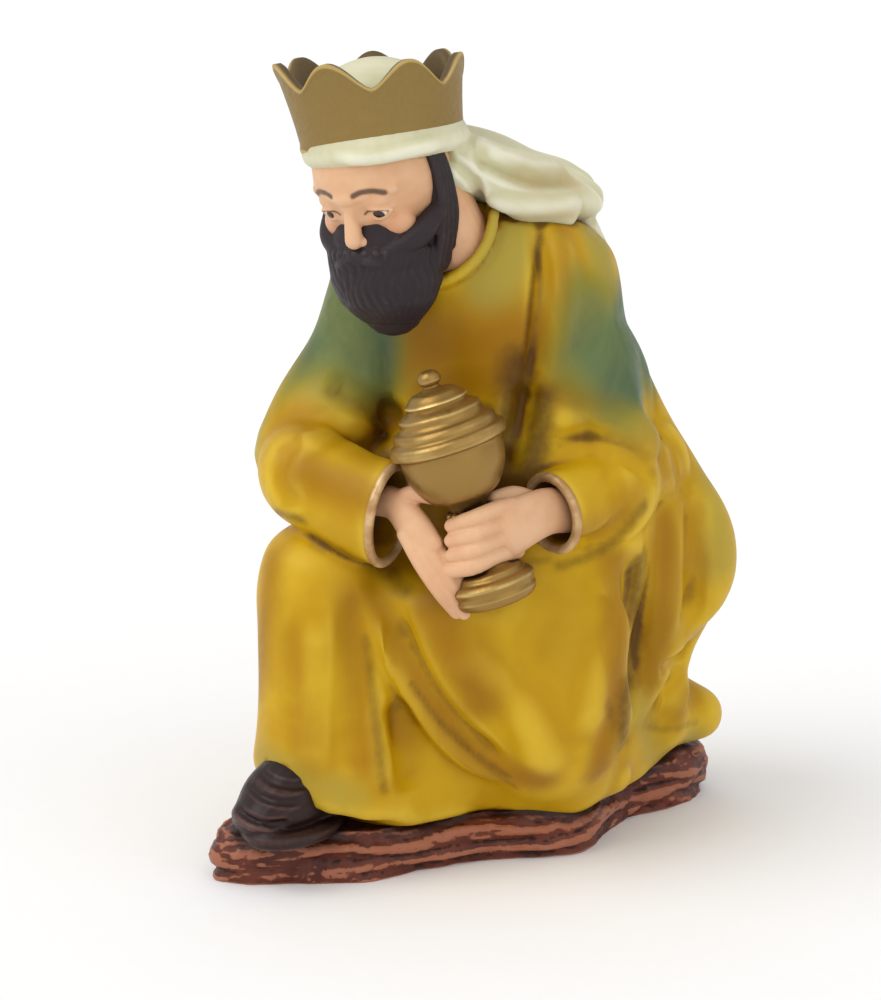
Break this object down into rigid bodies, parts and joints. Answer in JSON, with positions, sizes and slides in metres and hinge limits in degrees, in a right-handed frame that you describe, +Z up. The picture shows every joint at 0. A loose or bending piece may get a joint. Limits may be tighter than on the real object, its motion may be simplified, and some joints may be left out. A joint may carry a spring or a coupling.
{
  "type": "nativity wise man figurine",
  "caption": "Painted resin figurine of a crowned, bearded wise man kneeling on one knee and holding a covered golden urn, on an irregular rocky base",
  "frame": {"origin": "middle of the bounding box in X and Y, on the surface that the figurine stands on", "axes": "+Z up, -Y the way the figure faces, +X towards his left hand"},
  "size_m": [0.0421, 0.0604, 0.0884],
  "materials": {
    "painted_resin": "cast resin, hand painted in satin yellow with green, white, gold, skin and brown, over a brown wash"
  },
  "bodies": {
    "root": {"wise_man_figurine": "painted_resin"}
  },
  "joints": []
}
